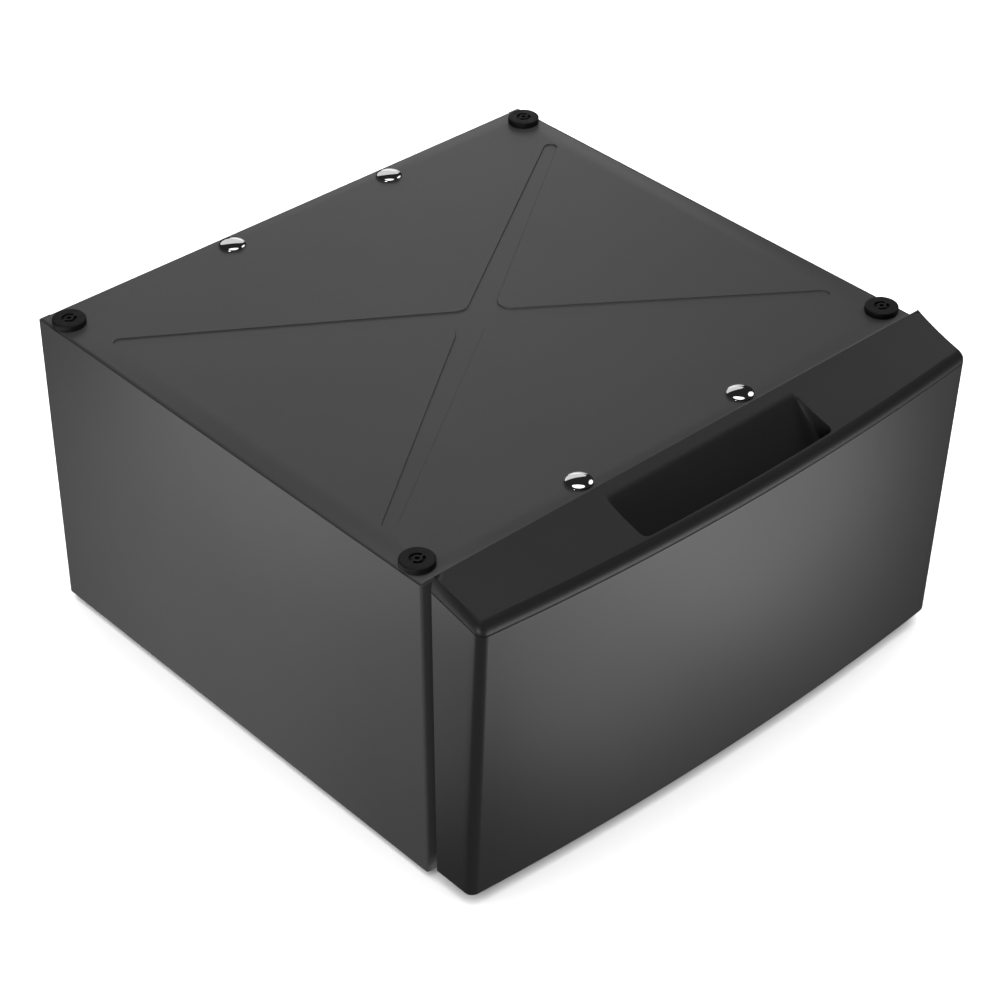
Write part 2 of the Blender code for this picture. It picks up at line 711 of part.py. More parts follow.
def slide_channel(name, web, flange_end, half_height, lip=0, cage=False):
    """A channel of the left slide. web and flange_end are distances from the slide rail's face."""
    web_x, end_x = -RAIL_FACE_X + web, -RAIL_FACE_X + flange_end
    top, bottom = SLIDE_CENTRE_Z + half_height, SLIDE_CENTRE_Z - half_height
    corners = [(end_x, top), (web_x, top), (web_x, bottom), (end_x, bottom)]
    if lip:
        corners = [(end_x, top - lip), *corners, (end_x, bottom + lip)]
    if end_x < web_x:
        corners.reverse()
    length, front = (CAGE_LENGTH, SLIDE_FRONT_Y + CAGE_SETBACK) if cage else (SLIDE_LENGTH, SLIDE_FRONT_Y)
    sheet, finish = (CAGE_SHEET, BRIGHT_STEEL) if cage else (MEMBER_SHEET, ZINC)
    place = (0, front + length, 0)
    return folded_sheet(name, corners, length, place, ALONG_MINUS_Y, sheet, finish, bend=1.4 * sheet)


def build_slides():
    """Telescopic slides: a member on the cabinet, a middle one, one on the drawer, and two ball cages."""
    left = [
        slide_channel("left_slide_cabinet_member", 0.0003, 0.0113, 0.0225, lip=0.0025),
        slide_channel("left_slide_outer_cage", 0.0020, 0.0088, 0.0200, cage=True),
        slide_channel("left_slide_middle_member", 0.0031, 0.0113, 0.0170),
        slide_channel("left_slide_inner_cage", 0.0048, 0.0108, 0.0142, cage=True),
        slide_channel("left_slide_drawer_member", SLIDE_SPACE, 0.0065, 0.0110),
    ]
    for member in left:
        mirrored(member, member.name.replace("left", "right"))


def build_release_levers():
    """A small plastic lever in each drawer member, which frees the drawer from its slides."""
    low_x, high_x = -RAIL_FACE_X + 0.0090, -RAIL_FACE_X + 0.0113
    pivot = Vector(((low_x + high_x) / 2, SLIDE_FRONT_Y + LEVER_SETBACK, SLIDE_CENTRE_Z))
    behind_pivot = 0.005
    bm = bmesh.new()
    bmesh.ops.create_cube(bm, size=1.0)
    bmesh.ops.scale(bm, vec=(high_x - low_x, LEVER_LENGTH, 2 * LEVER_HALF_HEIGHT), verts=bm.verts)
    bmesh.ops.translate(bm, vec=(0, behind_pivot - LEVER_LENGTH / 2, 0), verts=bm.verts)
    across = [edge for edge in bm.edges if edge.verts[0].co.yz == edge.verts[1].co.yz]
    bmesh.ops.bevel(bm, geom=across, offset=0.0025, segments=2, profile=0.5, affect="EDGES")
    left = part("left_release_lever", mesh_from("left_release_lever", bm), BLACK_PLASTIC, pivot)
    mirrored(left, "right_release_lever")


# Drawer box ---------------------------------------------------------------------------------------


def build_drawer_box():
    """The tray, with sides and a back that are hemmed along their tops."""
    front, back = DRAWER_BOX_FRONT_Y, DRAWER_BOX_BACK_Y
    corners = [
        (-DRAWER_SIDE_X + DRAWER_TOP_HEM, DRAWER_BOX_TOP),
        (-DRAWER_SIDE_X, DRAWER_BOX_TOP),
        (-DRAWER_SIDE_X, DRAWER_BOX_BOTTOM),
        (-DRAWER_SIDE_X + DRAWER_FLOOR_FLANGE, DRAWER_BOX_BOTTOM),
    ]
    place = (0, back, 0)
    left = folded_sheet("drawer_left_side", corners, back - front, place, ALONG_MINUS_Y, bend=BOX_BEND)
    mirrored(left, "drawer_right_side")
    tray_z = DRAWER_BOX_BOTTOM + SHEET + GAP
    half = DRAWER_INSIDE_X
    box("drawer_tray", (-half, front, tray_z), (half, back - SHEET - GAP, tray_z + SHEET))
    back_top = DRAWER_BOX_TOP - SHEET - GAP
    back_corners = [(back, tray_z), (back, back_top), (back - DRAWER_TOP_HEM, back_top)]
    folded_sheet("drawer_back", back_corners, 2 * half, (-half, 0, 0), ALONG_X, bend=BOX_BEND)


def build_front_fixings(inner_panel):
    """Angles that hold the drawer box to its front, and their screws."""
    low_z, high_z = DRAWER_BOX_BOTTOM + 0.008, DRAWER_BOX_TOP - 0.010
    x, y = -DRAWER_INSIDE_X, DRAWER_BOX_FRONT_Y
    corners = [(x, y + BRACKET_ON_SIDE), (x, y), (x + BRACKET_ON_FRONT, y)]
    name, place = "drawer_left_front_bracket", (0, 0, low_z)
    left = folded_sheet(name, corners, high_z - low_z, place, ALONG_Z, BRACKET_SHEET, ZINC, bend=0.002)
    screw_x, hole_radius = x + 0.015, SCREW_SHANK_RADIUS + 0.0004
    heights = {"lower": low_z + 0.035, "upper": high_z - 0.035}
    for height, z in heights.items():
        hole_place = (screw_x, y, z)
        cut(left, cylinder(f"bracket_hole_{height}", hole_radius, PAST_EDGE, hole_place, ALONG_MINUS_Y, 12))
    mirrored(left, "drawer_right_front_bracket")
    rim = 0.0006
    profile = [
        (SCREW_HEAD_RADIUS * sin(angle), rim + (SCREW_HEAD_HEIGHT - rim) * cos(angle))
        for angle in quarter_turn(3)
    ]
    profile += [
        (SCREW_HEAD_RADIUS, 0),
        (SCREW_SHANK_RADIUS, 0),
        (SCREW_SHANK_RADIUS, -0.012),
        (0, -0.0135),
    ]
    seat_y = y + BRACKET_SHEET + GAP
    for side, sign in (("left", 1), ("right", -1)):
        for height, z in heights.items():
            name, hole_name = f"drawer_front_screw_{height}_{side}", f"panel_hole_{height}_{side}"
            turned(name, profile, (sign * screw_x, seat_y, z), ZINC, (-pi / 2, 0, 0), steps=12)
            hole_place = (sign * screw_x, y, z)
            cut(inner_panel, cylinder(hole_name, hole_radius, PAST_EDGE, hole_place, ALONG_MINUS_Y, 12))


clear_scene()
PEDESTAL = new_collection("laundry_pedestal")
CUTTERS = new_collection("cutters")
build_top_panel()
build_side_panels()
build_back_panel()
build_cross_rails()
build_slide_rails()
build_top_pads()
build_hold_down_bolts()
build_drawer_bumpers()
build_foot_brackets()
build_feet()
build_slides()
build_release_levers()
build_drawer_front_panel()
build_drawer_front_cap()
build_front_fixings(build_drawer_front_inner_panel())
build_drawer_box()
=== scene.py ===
"""Looks of the laundry pedestal: a dark painted cabinet with a bowed, satin metal drawer front.

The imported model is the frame. The drawer front's skin and cap, the pads, the bolts, the screws and the
feet's studs are made again here with a finer surface, and the balls of the slides are added. The other
pieces keep the frame's meshes, with rounded edges and their own materials.
"""

import json
from math import cos, hypot, pi, radians, sin, sqrt

import bmesh
import bpy
from mathutils import Matrix, Quaternion, Vector
from mathutils.geometry import delaunay_2d_cdt


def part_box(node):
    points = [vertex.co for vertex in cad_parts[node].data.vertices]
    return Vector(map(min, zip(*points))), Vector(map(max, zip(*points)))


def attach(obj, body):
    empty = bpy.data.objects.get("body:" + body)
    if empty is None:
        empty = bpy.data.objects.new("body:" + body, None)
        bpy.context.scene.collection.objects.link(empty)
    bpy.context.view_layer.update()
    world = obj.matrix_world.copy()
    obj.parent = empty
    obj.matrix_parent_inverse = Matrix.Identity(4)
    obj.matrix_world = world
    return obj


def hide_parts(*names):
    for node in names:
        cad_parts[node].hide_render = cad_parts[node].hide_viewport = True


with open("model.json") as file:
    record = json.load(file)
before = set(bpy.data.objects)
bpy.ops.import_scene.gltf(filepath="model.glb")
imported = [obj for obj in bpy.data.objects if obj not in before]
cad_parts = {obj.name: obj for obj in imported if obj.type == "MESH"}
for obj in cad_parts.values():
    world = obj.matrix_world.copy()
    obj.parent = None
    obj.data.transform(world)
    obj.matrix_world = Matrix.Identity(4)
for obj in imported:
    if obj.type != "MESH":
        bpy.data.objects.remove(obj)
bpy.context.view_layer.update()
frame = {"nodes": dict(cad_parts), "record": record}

# Camera and studio.
CAMERA_PLACE = (-1.6397, -1.7999, 1.9569)
CAMERA_AZIMUTH = -42.19
CAMERA_ELEVATION = 36.46
CAMERA_ROLL = -0.09
CAMERA_LENS = 100.0
FLOOR_HALF = 40.0
AMBIENT, MIRRORED_AMBIENT = 0.132, 0.02
FLOOR_LIGHT_POWER, FLOOR_LIGHT_SPREAD = 5.0, radians(120)

# Each light's place, what it faces, its size and its power in watts. The ones below the floor shine up
# through it, as on a light table.
LIGHTS = {
    "overhead_light": ((0, 0, 3.2), (0, 0, 0.25), (2.2, 2.2), 21.7),
    "right_high_light": ((2.8, 0, 2.4), (0, 0, 0.25), (1.8, 1.8), 12.3),
    "rear_wide_light": ((1.6, 2.9, 2.0), (0, 0, 0.25), (3.3, 1.7), 10.4),
    "rear_low_light": ((2.4, 2.6, 1.0), (0, 0, 0.25), (1.7, 1.1), 3.5),
    "left_low_light": ((-2.9, -1.2, 0.5), (0, 0, 0.25), (1.1, 0.9), 28.3),
    "left_wide_light": ((-1.9, 0.7, -0.35), (-0.34, 0.12, 0.15), (1.2, 1.6), 2.0),
    "left_floor_light": ((-0.9, 0.35, 0.02), (-0.9, 0.35, 5), (0.6, 1.0), 1.4),
    "left_under_light": ((-1.22, 1.42, -1.12), (-0.34, 0.12, 0.12), (1.2, 1.2), 2.0),
    "front_wide_light": ((0.6, -2.0, -0.35), (0, -0.355, 0.2), (1.6, 1.0), 14.0),
    "front_right_light": ((1.6, -2.4, -0.3), (0, -0.355, 0.2), (1.4, 1.0), 5.7),
    "front_under_light": ((1.39, -1.36, -1.08), (0.03, -0.353, 0.33), (0.7, 0.7), 1.6),
    "front_left_under_light": ((0.87, -1.54, -1.2), (-0.2, -0.347, 0.3), (0.8, 0.8), 1.85),
    "right_under_light": ((2.0, -1.6, -0.8), (0, -0.355, 0.2), (1.2, 1.2), 0.8),
}

# The drawer front, from the frame and from the design's own curves.
SKIN_LOW, SKIN_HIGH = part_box("drawer_front_panel")
CAP_LOW, CAP_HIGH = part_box("drawer_front_cap")
FRONT_HALF = SKIN_HIGH.x
FRONT_BACK_Y = SKIN_HIGH.y
NOSE_Y = CAP_LOW.y
NOSE_Z = 0.3585
BOW_RADIUS = 3.741
LEAN = 0.0495
CORNER_RADIUS = 0.010
SPLIT_FRONT_Y, SPLIT_FRONT_Z, SPLIT_SLOPE = -0.340, 0.3533, 0.228
SKIN_SHEET = 0.0012
SKIN_BOTTOM_EDGE = 0.004

# The cap: its top falls forwards in a shallow hollow, and its edges are rounded.
CAP_FALL = 0.40
CAP_HOLLOW = 1.2
CAP_WALL = 0.0022
CAP_STEP = 0.0002
SIDE_EDGE_WIDTH_BACK, SIDE_EDGE_WIDTH_FRONT = 0.0035, 0.0080
SIDE_EDGE_SHARE = 0.85
FACE_EDGE_WIDTH = 0.0088
FACE_EDGE_DROP = 0.0105
BACK_EDGE = 0.001
EDGE_TURN, EDGE_STEPS = radians(64), 8

# The handle scoop. Its wall's shares are of the depth at each place.
SCOOP_HALF = 0.132
SCOOP_BACK_Y = FRONT_BACK_Y - 0.0142
SCOOP_RIM = 0.0115
SCOOP_FLOOR = 0.336
SCOOP_SLOPE = 0.90
SCOOP_CORNER = 0.0075
SCOOP_DRAFT = 0.0022
SCOOP_FILLET = 0.007
SCOOP_FILLET_SHARE = 0.2
SCOOP_RIM_EDGE = 0.0010
SCOOP_RIM_SHARE = 0.035
SCOOP_FLOOR_BLEND = 0.008
SCOOP_BACK_BLEND = 0.0015
SCOOP_WALL_START = 0.003
GRID_GAP = 0.002

# The pads and bolts on the top panel. Their heads stand a hair above it.
CORNERS = ("front_left", "front_right", "back_left", "back_right")
TOP_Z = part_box("top_panel")[1].z
PAD_RADIUS, PAD_EDGE = 0.018, 0.0014
PAD_GROOVE_DEPTH, PAD_DOT = 0.0025, 0.0025
PAD_GROOVE_WALL = 0.00015
PAD_RING_INNER, PAD_RING_OUTER = 0.0051, 0.0082
PAD_BRIDGE_HALF = radians(12.5)
BOLT_RADIUS, BOLT_FLANGE = 0.015, 0.0009
STEM_RADIUS, STEM_LENGTH = 0.0042, 0.006
HEAD_GAP = 0.0003

# The levelling studs' thread, and the slides' balls.
THREAD_PITCH, THREAD_DEPTH, THREAD_SIDES, ROWS_PER_PITCH = 0.0015, 0.0007, 24, 6
BALLS_PER_ROW, BALL_END_GAP = 12, 0.008


# Small tools ----------------------------------------------------------------------------------------


def smooth_max(a, b, width):
    return max(a, b) + max(width - abs(a - b), 0) ** 2 / (4 * width)


def smooth_min(a, b, width):
    return min(a, b) - max(width - abs(a - b), 0) ** 2 / (4 * width)


def between(low, high, share):
    return low + (high - low) * share


def steps_between(low, high, spacing):
    """Evenly spaced values from low to high, about this far apart."""
    count = max(1, round(abs(high - low) / spacing))
    return [between(low, high, k / count) for k in range(count + 1)]


def quarter_turn(steps):
    return [pi / 2 * k / steps for k in range(steps + 1)]


def piece_from(name, bm, slot, body, replaced=(), sharp_angle=40):
    """An object for a finished bmesh, shaded smooth, which rides on a body and takes a slot's material."""
    bmesh.ops.recalc_face_normals(bm, faces=bm.faces)
    mesh = bpy.data.meshes.new(name)
    bm.to_mesh(mesh)
    bm.free()
    mesh.shade_smooth()
    mesh.set_sharp_from_angle(angle=radians(sharp_angle))
    mesh.materials.append(FINISHES[slot])
    obj = bpy.data.objects.new(name, mesh)
    bpy.context.scene.collection.objects.link(obj)
    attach(obj, body)
    if replaced:
        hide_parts(*replaced)
    return obj


def thicken(obj, thickness):
    solidify = obj.modifiers.new("Thickness", "SOLIDIFY")
    solidify.thickness = thickness
    solidify.offset = -1


def soften_edges(obj, width, angle=35):
    bevel = obj.modifiers.new("Soft edges", "BEVEL")
    bevel.width = width
    bevel.segments = 2
    bevel.limit_method = "ANGLE"
    bevel.angle_limit = radians(angle)
    bevel.harden_normals = True


def join_rings(bm, rings):
    """Quads between closed rings of vertices, each ring with the same number of them."""
    count = len(rings[0])
    for low, high in zip(rings, rings[1:]):
        for i in range(count):
            j = (i + 1) % count
            bm.faces.new((low[i], low[j], high[j], high[i]))


# Materials ------------------------------------------------------------------------------------------


def node_material(name):
    """A new material, with its node tree and its Principled shader."""
    made = bpy.data.materials.new(name)
    made.use_nodes = True
    return made, made.node_tree, made.node_tree.nodes["Principled BSDF"]


def coordinates(tree, stretch=(1, 1, 1)):
    """The piece's own coordinates in metres, squeezed along each axis by stretch."""
    source = tree.nodes.new("ShaderNodeTexCoord")
    mapping = tree.nodes.new("ShaderNodeMapping")
    mapping.inputs["Scale"].default_value = stretch
    tree.links.new(source.outputs["Object"], mapping.inputs["Vector"])
    return mapping.outputs["Vector"]


def noise(tree, vector, scale, detail=3.0):
    node = tree.nodes.new("ShaderNodeTexNoise")
    node.inputs["Scale"].default_value = scale
    node.inputs["Detail"].default_value = detail
    tree.links.new(vector, node.inputs["Vector"])
    return node.outputs["Fac"]


def spread(tree, factor, low, high):
    """Turns a noise's middle range into values from low to high."""
    node = tree.nodes.new("ShaderNodeMapRange")
    node.inputs["From Min"].default_value = 0.3
    node.inputs["From Max"].default_value = 0.7
    node.inputs["To Min"].default_value = low
    node.inputs["To Max"].default_value = high
    tree.links.new(factor, node.inputs["Value"])
    return node.outputs["Result"]


def shade_colour(tree, shader, colour, factor, variation):
    """Base colour that varies by a share of itself, up and down."""
    mix = tree.nodes.new("ShaderNodeMix")
    mix.data_type = "RGBA"
    mix.inputs["A"].default_value = (*(part * (1 - variation) for part in colour), 1)
    mix.inputs["B"].default_value = (*(part * (1 + variation) for part in colour), 1)
    tree.links.new(spread(tree, factor, 0, 1), mix.inputs["Factor"])
    tree.links.new(mix.outputs["Result"], shader.inputs["Base Color"])


def add_bump(tree, shader, *layers):
    """Bump from (height, depth in metres) layers, each on top of the one before."""
    normal = None
    for height, depth in layers:
        node = tree.nodes.new("ShaderNodeBump")
        node.inputs["Distance"].default_value = depth
        tree.links.new(height, node.inputs["Height"])
        if normal:
            tree.links.new(normal, node.inputs["Normal"])
        normal = node.outputs["Normal"]
    tree.links.new(normal, shader.inputs["Normal"])


def powder_paint(name, colour, roughness):
    """Semi-matt powder paint on steel: soft orange peel with a finer grain in it."""
    made, tree, shader = node_material(name)
    vector = coordinates(tree)
    clouds, peel, grain = (noise(tree, vector, scale) for scale in (9, 420, 1900))
    shade_colour(tree, shader, colour, clouds, 0.03)
    tree.links.new(spread(tree, peel, roughness - 0.03, roughness + 0.03), shader.inputs["Roughness"])
    add_bump(tree, shader, (peel, 0.00003), (grain, 0.00001))
    return made


def satin_steel(name, colour, roughness, metallic):
    """Coated steel with a barely visible grain that runs across the drawer front."""
    made, tree, shader = node_material(name)
    clouds = noise(tree, coordinates(tree), 7)
    grain = noise(tree, coordinates(tree, (0.02, 1, 1)), 2600, 2)
    shade_colour(tree, shader, colour, clouds, 0.02)
    shader.inputs["Metallic"].default_value = metallic
    tree.links.new(spread(tree, grain, roughness - 0.015, roughness + 0.015), shader.inputs["Roughness"])
    add_bump(tree, shader, (grain, 0.0000015))
    return made


def moulded_plastic(name, colour, roughness, grain_scale=1500, depth=0.00002):
    """Plastic from an etched mould: an even, fine texture with slight flow marks."""
    made, tree, shader = node_material(name)
    vector = coordinates(tree)
    flow, etch = noise(tree, vector, 14), noise(tree, vector, grain_scale)
    shade_colour(tree, shader, colour, flow, 0.04)
    tree.links.new(spread(tree, etch, roughness - 0.05, roughness + 0.05), shader.inputs["Roughness"])
    add_bump(tree, shader, (etch, depth))
    return made


def soft_rubber(name, colour, roughness):
    """Matt rubber with a bloom of lighter patches and a coarse skin."""
    made, tree, shader = node_material(name)
    vector = coordinates(tree)
    bloom, skin = noise(tree, vector, 120, 5), noise(tree, vector, 1100)
    shader.inputs["Specular IOR Level"].default_value = 0.35
    shade_colour(tree, shader, colour, bloom, 0.18)
    tree.links.new(spread(tree, bloom, roughness - 0.08, roughness + 0.08), shader.inputs["Roughness"])
    add_bump(tree, shader, (skin, 0.00004))
    return made


def zinc_plate(name, colour, roughness):
    """Zinc-plated sheet: a faint spangle of crystals, each of its own brightness."""
    made, tree, shader = node_material(name)
    vector = coordinates(tree)
    spangle = tree.nodes.new("ShaderNodeTexVoronoi")
    spangle.inputs["Scale"].default_value = 240
    tree.links.new(vector, spangle.inputs["Vector"])
    crystal = tree.nodes.new("ShaderNodeSeparateColor")
    tree.links.new(spangle.outputs["Color"], crystal.inputs["Color"])
    shade_colour(tree, shader, colour, crystal.outputs["Red"], 0.10)
    shader.inputs["Metallic"].default_value = 1.0
    patches = spread(tree, crystal.outputs["Green"], roughness - 0.05, roughness + 0.05)
    tree.links.new(patches, shader.inputs["Roughness"])
    add_bump(tree, shader, (noise(tree, vector, 900), 0.000008))
    return made


def polished_metal(name, colour, roughness, streaks, depth):
    """Bright metal with fine marks from rolling or polishing."""
    made, tree, shader = node_material(name)
    marks = noise(tree, coordinates(tree, streaks), 1800, 4)
    shade_colour(tree, shader, colour, marks, 0.03)
    shader.inputs["Metallic"].default_value = 1.0
    tree.links.new(spread(tree, marks, roughness * 0.8, roughness * 1.2), shader.inputs["Roughness"])
    add_bump(tree, shader, (marks, depth))
    return made


def make_finishes():
    return {
        "painted_steel": powder_paint("painted_steel", (0.093, 0.093, 0.0945), 0.40),
        "satin_metal": satin_steel("satin_metal", (0.086, 0.086, 0.0873), 0.31, 0.7),
        "cap_plastic": moulded_plastic("cap_plastic", (0.0175, 0.0175, 0.0178), 0.48),
        "black_plastic": moulded_plastic("black_plastic", (0.02, 0.02, 0.02), 0.5, 900, 0.00003),
        "rubber": soft_rubber("rubber", (0.007, 0.007, 0.007), 0.6),
        "chrome": polished_metal("chrome", (0.8, 0.8, 0.8), 0.05, (1, 1, 1), 0.0000005),
        "zinc_steel": zinc_plate("zinc_steel", (0.55, 0.56, 0.57), 0.35),
        "bright_steel": polished_metal("bright_steel", (0.62, 0.62, 0.63), 0.25, (1, 0.05, 1), 0.000002),
    }


# Drawer front ---------------------------------------------------------------------------------------


def face_y(x, z=NOSE_Z):
    """The drawer front's face: bowed in plan, and leaning out towards the nose."""
    return NOSE_Y + x * x / (2 * BOW_RADIUS) + abs(NOSE_Z - z) * LEAN


def split_z(y):
    """The sloping plane where the cap meets the skin."""
    return SPLIT_FRONT_Z + (y - SPLIT_FRONT_Y) * SPLIT_SLOPE


def front_outline(z, inset=0.0, arc_steps=10, bow_steps=56, side_steps=8):
    """The drawer front in plan from its right back corner round to its left one, as (x, y, turn).

    turn is 0 along the sides and a right angle along the face.
    """
    half, radius = FRONT_HALF - inset, max(CORNER_RADIUS - inset, 0.001)
    turn_x = half - radius
    turn_y = face_y(turn_x, z) + inset + radius
    right = [(half, between(FRONT_BACK_Y, turn_y, k / side_steps), 0.0) for k in range(side_steps)]
    right += [
        (turn_x + radius * cos(angle), turn_y - radius * sin(angle), angle)
        for angle in quarter_turn(arc_steps)
    ]
    face = []
    for k in range(1, bow_steps):
        x = turn_x * (1 - 2 * k / bow_steps)
        face.append((x, face_y(x, z) + inset, pi / 2))
    left = [(-x, y, turn) for x, y, turn in reversed(right)]
    return [*right, *face, *left]


def make_front_skin():
    """The bowed metal skin: one pressed sheet, rounded along its bottom edge."""
    bm = bmesh.new()
    rings = []
    for angle in quarter_turn(5):
        z = SKIN_LOW.z + SKIN_BOTTOM_EDGE * (1 - cos(angle))
        inset = SKIN_BOTTOM_EDGE * (1 - sin(angle))
        rings.append([bm.verts.new((x, y, z)) for x, y, _ in front_outline(z, inset)])
    top = front_outline(SPLIT_FRONT_Z)
    rings.append([bm.verts.new((x, y, split_z(y))) for x, y, _ in top])
    for low, high in zip(rings, rings[1:]):
        for i in range(len(low) - 1):
            bm.faces.new((low[i], low[i + 1], high[i + 1], high[i]))
    bm.faces.new(rings[0])
    skin = piece_from("drawer_front_skin", bm, "satin_metal", "drawer", ["drawer_front_panel"])
    thicken(skin, SKIN_SHEET)
    soften_edges(skin, 0.0002, angle=50)


def cap_top_z(y):
    forward = FRONT_BACK_Y - y
    return CAP_HIGH.z - CAP_FALL * forward + CAP_HOLLOW * forward**2


def scoop_wall_profile():
    """(distance inwards from the scoop's mouth, share of its depth still standing) down its wall."""
    rim = [
        (SCOOP_RIM_EDGE * (sin(angle) - 1), 1 - SCOOP_RIM_SHARE * (1 - cos(angle)))
        for angle in quarter_turn(6)
    ]
    fillet = [
        (SCOOP_DRAFT + SCOOP_FILLET * (1 - cos(angle)), SCOOP_FILLET_SHARE * (1 - sin(angle)))
        for angle in quarter_turn(6)
    ]
    middle = [tuple(between(a, b, 0.5) for a, b in zip(rim[-1], fillet[0]))]
    return rim + middle + fillet


def mouth_wall_y(x):
    return face_y(x) + SCOOP_RIM


def mouth_distance(x, y):
    """Distance inwards from the scoop's mouth at its ends and its front, whose corners are round."""
    aside, ahead = SCOOP_HALF - abs(x), y - mouth_wall_y(x)
    if aside < SCOOP_CORNER and ahead < SCOOP_CORNER:
        return SCOOP_CORNER - hypot(SCOOP_CORNER - aside, SCOOP_CORNER - ahead)
    return min(aside, ahead)


def bed_z(y):
    """The cap's surface where the scoop is open, away from its walls."""
    slope = cap_top_z(SCOOP_BACK_Y) + (y - SCOOP_BACK_Y) * SCOOP_SLOPE
    bed = smooth_max(SCOOP_FLOOR, slope, SCOOP_FLOOR_BLEND)
    return smooth_min(cap_top_z(y), bed, SCOOP_BACK_BLEND)


def scoop_contour(inwards):
    """A line round the scoop's wall in plan, from its left rear end to its right one."""
    radius = max(SCOOP_CORNER - inwards, 0)
    turn_x = SCOOP_HALF - inwards - radius
    turn_y = mouth_wall_y(turn_x) + inwards + radius
    right = [(turn_x + radius, y) for y in steps_between(SCOOP_BACK_Y + SCOOP_WALL_START, turn_y, 0.002)]
    if radius > 0:
        right += [
            (turn_x + radius * cos(angle), turn_y - radius * sin(angle)) for angle in quarter_turn(6)[1:]
        ]
    front = [(x, mouth_wall_y(x) + inwards) for x in steps_between(-turn_x, turn_x, 0.004)[1:-1]]
    return [(-x, y) for x, y in right] + front + right[::-1]


def scoop_wall():
    """The points of the scoop's wall, and the pairs of them that are neighbours along it."""
    points, pairs = [], []
    for inwards, share in scoop_wall_profile():
        line = [(x, y, between(bed_z(y), cap_top_z(y), share)) for x, y in scoop_contour(inwards)]
        first = len(points)
        pairs += [(first + i, first + i + 1) for i in range(len(line) - 1)]
        points += line
    return points, pairs


def open_points():
    """A grid of points over the cap's top and the scoop's bed, clear of the wall and of rounded edges."""
    mouth, foot = scoop_wall_profile()[0][0], scoop_wall_profile()[-1][0]
    margin = FACE_EDGE_WIDTH + GRID_GAP
    points = []
    for y in steps_between(NOSE_Y, FRONT_BACK_Y, 0.0015):
        for x in steps_between(-FRONT_HALF, FRONT_HALF, 0.006):
            if abs(x) > FRONT_HALF - margin or not face_y(x) + margin < y < FRONT_BACK_Y - GRID_GAP:
                continue
            inwards = mouth_distance(x, y)
            behind = y > SCOOP_BACK_Y + SCOOP_WALL_START + GRID_GAP
            if behind or inwards < mouth - GRID_GAP:
                points.append((x, y, cap_top_z(y) if inwards < mouth else bed_z(y)))
            elif inwards > foot + GRID_GAP:
                points.append((x, y, bed_z(y)))
    return points


def side_edge_width(y):
    """The cap's rounding along its sides, which widens forwards."""
    share = (FRONT_BACK_Y - y) / (FRONT_BACK_Y - face_y(FRONT_HALF) - CORNER_RADIUS)
    return between(SIDE_EDGE_WIDTH_BACK, SIDE_EDGE_WIDTH_FRONT, min(share, 1))


def cap_rings(bm):
    """Rings up the cap's outside, from the split to where its top begins."""
    outline = front_outline(NOSE_Z, CAP_STEP)
    foot = front_outline(SPLIT_FRONT_Z, CAP_STEP)
    back_x = FRONT_HALF - CAP_STEP - SIDE_EDGE_WIDTH_BACK
    back_line = steps_between(-back_x, back_x, 0.012)
    rings = [[(x, y, split_z(y) + CAP_STEP) for x, y, _ in foot]]
    rings[0] += [(x, FRONT_BACK_Y, split_z(FRONT_BACK_Y) + CAP_STEP) for x in back_line]
    for step in range(EDGE_STEPS + 1):
        angle = EDGE_TURN * step / EDGE_STEPS
        inset, fallen = (1 - cos(angle)) / (1 - cos(EDGE_TURN)), 1 - sin(angle) / sin(EDGE_TURN)
        ring = []
        for i, (x, y, turn) in enumerate(outline):
            side = 1 if x > 0 else -1
            inwards_x = -side * side_edge_width(y) * cos(turn)
            inwards_y = -BACK_EDGE if i in (0, len(outline) - 1) else FACE_EDGE_WIDTH * sin(turn)
            side_drop = SIDE_EDGE_SHARE * (cap_top_z(y) - split_z(y))
            drop = between(side_drop, FACE_EDGE_DROP, turn / (pi / 2))
            px, py = x + inwards_x * inset, y + inwards_y * inset
            ring.append((px, py, cap_top_z(py) - drop * fallen))
        for x in back_line:
            y = FRONT_BACK_Y - BACK_EDGE * inset
            ring.append((x, y, cap_top_z(y) - BACK_EDGE * fallen))
        rings.append(ring)
    return [[bm.verts.new(point) for point in ring] for ring in rings]


def make_front_cap():
    """The moulded top of the drawer front, with rounded edges and a scoop for the hand."""
    bm = bmesh.new()
    rings = cap_rings(bm)
    join_rings(bm, rings)
    edge = rings[-1]
    wall, pairs = scoop_wall()
    inner = [bm.verts.new(point) for point in wall + open_points()]
    corners = edge + inner
    lines = [(i, (i + 1) % len(edge)) for i in range(len(edge))]
    lines += [(len(edge) + i, len(edge) + j) for i, j in pairs]
    _, _, faces, sources, _, _ = delaunay_2d_cdt([vert.co.xy for vert in corners], lines, [], 1, 0.00001)
    for face in faces:
        bm.faces.new([corners[sources[i][0]] for i in face])
    bmesh.ops.delete(bm, geom=[vert for vert in bm.verts if not vert.link_faces], context="VERTS")
    cap = piece_from("drawer_front_moulding", bm, "cap_plastic", "drawer", ["drawer_front_cap"], 20)
    thicken(cap, CAP_WALL)


# Turned and repeated pieces -------------------------------------------------------------------------


